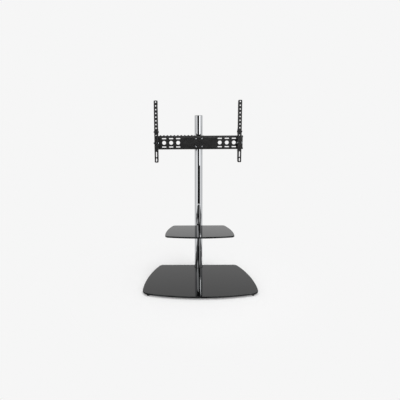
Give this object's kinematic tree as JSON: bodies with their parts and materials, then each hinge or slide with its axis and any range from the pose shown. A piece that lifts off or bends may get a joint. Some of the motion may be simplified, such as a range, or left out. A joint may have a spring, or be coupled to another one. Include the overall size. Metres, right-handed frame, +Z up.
{
  "type": "tv stand with mount",
  "caption": "Free-standing television stand: glass base and shelf on a chromed round tube, with a pressed rail and two tilting screen arms.",
  "frame": {"origin": "middle of the footprint at the floor, under the bounding box's centre", "axes": "+Z up, the screen side faces -Y, +X to the right seen from the front"},
  "size_m": [0.8, 0.545, 1.319],
  "materials": {
    "black_glass": "black tempered glass with polished edges",
    "chrome_tube": "bright chrome plate on a round steel tube",
    "black_steel": "black powder coat, fine texture, half matt",
    "zinc": "bright zinc plate",
    "dark_zinc": "black zinc plate",
    "rubber": "matt moulded rubber",
    "black_plastic": "fine-grained moulded plastic",
    "nylon": "natural nylon"
  },
  "bodies": {
    "stand": {"base_glass": "black_glass", "base_foot_front_left": "rubber", "base_foot_front_right": "rubber", "base_foot_rear_left": "rubber", "base_foot_rear_right": "rubber", "foot_plate": "black_steel", "foot_plate_gasket": "rubber", "foot_screw_front": "zinc", "foot_screw_rear_right": "zinc", "foot_screw_rear_left": "zinc", "pole_foot_gasket": "rubber", "pole_foot_plug": "zinc", "pole_tube": "chrome_tube", "pole_top_plug": "black_plastic", "lower_cable_grommet": "black_plastic", "upper_cable_grommet": "black_plastic"},
    "shelf": {"shelf_glass": "black_glass", "shelf_collar": "black_steel", "shelf_bracket": "black_steel", "shelf_clamp_screw_lower": "dark_zinc", "shelf_clamp_screw_upper": "dark_zinc", "shelf_bracket_screw_lower": "dark_zinc", "shelf_bracket_screw_upper": "dark_zinc", "shelf_disc_rear": "zinc", "shelf_disc_front_left": "zinc", "shelf_disc_front_right": "zinc", "shelf_disc_screw_rear": "dark_zinc", "shelf_disc_screw_front_left": "dark_zinc", "shelf_disc_screw_front_right": "dark_zinc"},
    "carriage": {"mount_collar": "black_steel", "mount_liner": "nylon", "mount_clamp_screw_lower": "dark_zinc", "mount_clamp_screw_upper": "dark_zinc", "swivel_pin": "zinc", "swivel_pin_nut": "zinc", "swivel_washer_lower": "nylon", "swivel_washer_upper": "nylon"},
    "head": {"swivel_yoke": "black_steel", "rail": "black_steel", "rail_bolt_lower_left": "zinc", "rail_bolt_upper_left": "zinc", "rail_bolt_lower_right": "zinc", "rail_bolt_upper_right": "zinc"},
    "left_hook_body": {"left_hook": "black_steel", "left_safety_screw": "dark_zinc", "left_pivot_bolt": "zinc", "left_pivot_nut": "zinc", "left_lock_bolt": "dark_zinc", "left_lock_nut": "dark_zinc"},
    "left_arm_body": {"left_arm": "black_steel"},
    "right_hook_body": {"right_hook": "black_steel", "right_safety_screw": "dark_zinc", "right_pivot_bolt": "zinc", "right_pivot_nut": "zinc", "right_lock_bolt": "dark_zinc", "right_lock_nut": "dark_zinc"},
    "right_arm_body": {"right_arm": "black_steel"}
  },
  "joints": [
    {"name": "shelf_height", "type": "slide", "parent": "stand", "child": "shelf", "axis": [0, 0, 1], "range_m": [-0.1, 0.2]},
    {"name": "mount_height", "type": "slide", "parent": "stand", "child": "carriage", "axis": [0, 0, 1], "range_m": [-0.25, 0.14]},
    {"name": "mount_swivel", "type": "hinge", "parent": "carriage", "child": "head", "pos_m": [0, 0.1635, 1.014], "axis": [0, 0, 1], "range_deg": [-15, 15]},
    {"name": "left_slide", "type": "slide", "parent": "head", "child": "left_hook_body", "axis": [1, 0, 0], "range_m": [0, 0.19]},
    {"name": "right_slide", "type": "slide", "parent": "head", "child": "right_hook_body", "axis": [-1, 0, 0], "range_m": [-0.016, 0.19]},
    {"name": "left_tilt", "type": "hinge", "parent": "left_hook_body", "child": "left_arm_body", "pos_m": [-0.3076, 0.1145, 1.014], "axis": [1, 0, 0], "range_deg": [-3, 12]},
    {"name": "right_tilt", "type": "hinge", "parent": "right_hook_body", "child": "right_arm_body", "pos_m": [0.291, 0.1145, 1.014], "axis": [1, 0, 0], "range_deg": [-3, 12]}
  ]
}
